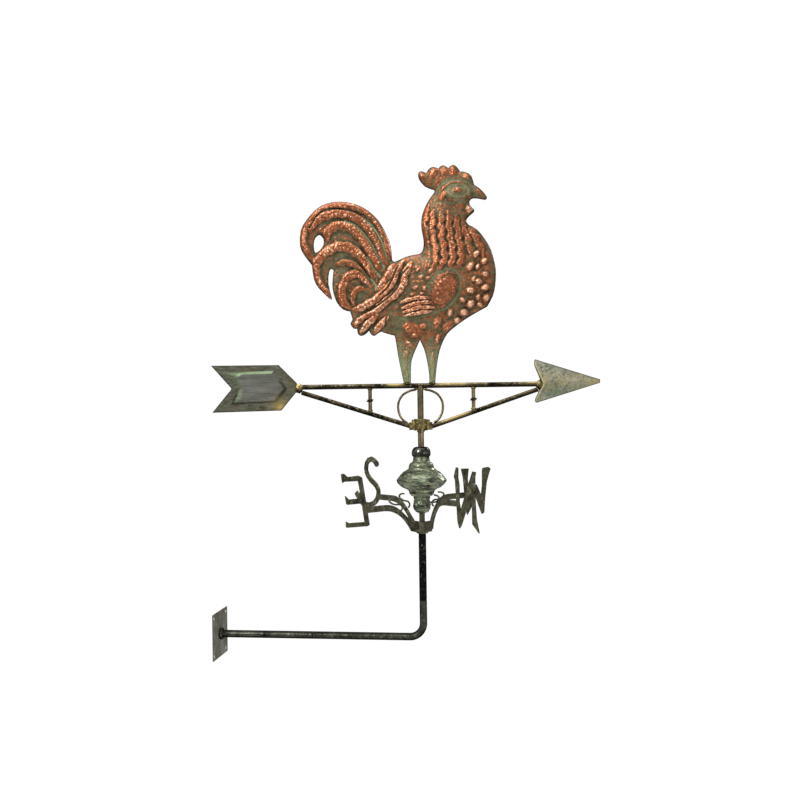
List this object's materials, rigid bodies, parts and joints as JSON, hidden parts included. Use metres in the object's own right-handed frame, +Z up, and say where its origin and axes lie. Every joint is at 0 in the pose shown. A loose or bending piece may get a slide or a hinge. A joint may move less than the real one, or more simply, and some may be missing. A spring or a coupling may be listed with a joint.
{
  "type": "weather vane",
  "caption": "Rooster weather vane on a wall bracket: turning arrow with embossed copper rooster, spun finial and four compass letters on a bent tube arm.",
  "frame": {"origin": "centre of the wall plate's back face, which lies against the wall", "axes": "+X along the arm, away from the wall; +Z up along the mast; the mast's axis stands at x = 0.338 m"},
  "size_m": [0.6237, 0.2393, 0.7918],
  "materials": {
    "steel": "weathered steel with a thin olive patina",
    "black_steel": "near-black paint, satin, slightly worn",
    "bright_steel": "bare turned steel",
    "letters": "dark olive finish over cut plate, near-black edges",
    "verdigris": "spun and hammered sheet with grey-green verdigris",
    "copper": "embossed copper, bright on the ridges and green-brown in the recesses",
    "patina": "grey-green patinated sheet",
    "brass": "bare brass-coloured weld and turned metal",
    "bronze": "brown brass-plated tube and wire"
  },
  "bodies": {
    "bracket": {"wall_plate": "steel", "arm_weld": "bronze", "bracket_arm": "steel", "mast_joint_spigot": "steel", "mast_tube": "black_steel", "mast_plug": "steel", "mast_set_screw": "bright_steel", "spindle_rod": "bright_steel", "spacer_tube": "black_steel", "finial_bulb": "verdigris", "finial_lower_collar": "verdigris", "finial_lower_bowl": "verdigris", "finial_upper_bowl": "verdigris", "finial_collar": "verdigris", "finial_top_nut": "black_steel", "spindle_sleeve": "bronze", "thrust_ball": "bright_steel"},
    "compass": {"letter_hub": "letters", "hub_set_screw": "bright_steel", "letter_arm_north": "letters", "letter_arm_east": "letters", "letter_arm_south": "letters", "letter_arm_west": "letters", "scroll_north": "letters", "scroll_east": "letters", "scroll_south": "letters", "scroll_west": "letters"},
    "vane": {"arrow_tube": "steel", "rotor_tube": "bronze", "rotor_hub": "brass", "rotor_bush": "brass", "pivot_cap": "bright_steel", "brace_tail": "steel", "brace_head": "steel", "strut_tail": "bronze", "strut_head": "bronze", "barb_tail": "black_steel", "barb_head": "black_steel", "ring_half_tail": "bronze", "ring_half_head": "bronze", "tail_plate": "patina", "tail_weld": "brass", "arrowhead_near_sheet": "patina", "arrowhead_far_sheet": "patina", "head_weld": "brass", "rooster_near_shell": "copper", "rooster_far_shell": "copper", "foot_weld_rear": "brass", "foot_weld_front": "brass"}
  },
  "joints": [
    {"name": "vane_spin", "type": "hinge", "parent": "bracket", "child": "vane", "pos_m": [0.338, 0, 0.36], "axis": [0, 0, 1], "continuous": true},
    {"name": "compass_swivel", "type": "hinge", "parent": "bracket", "child": "compass", "pos_m": [0.338, 0, 0.175], "axis": [0, 0, 1], "continuous": true}
  ]
}
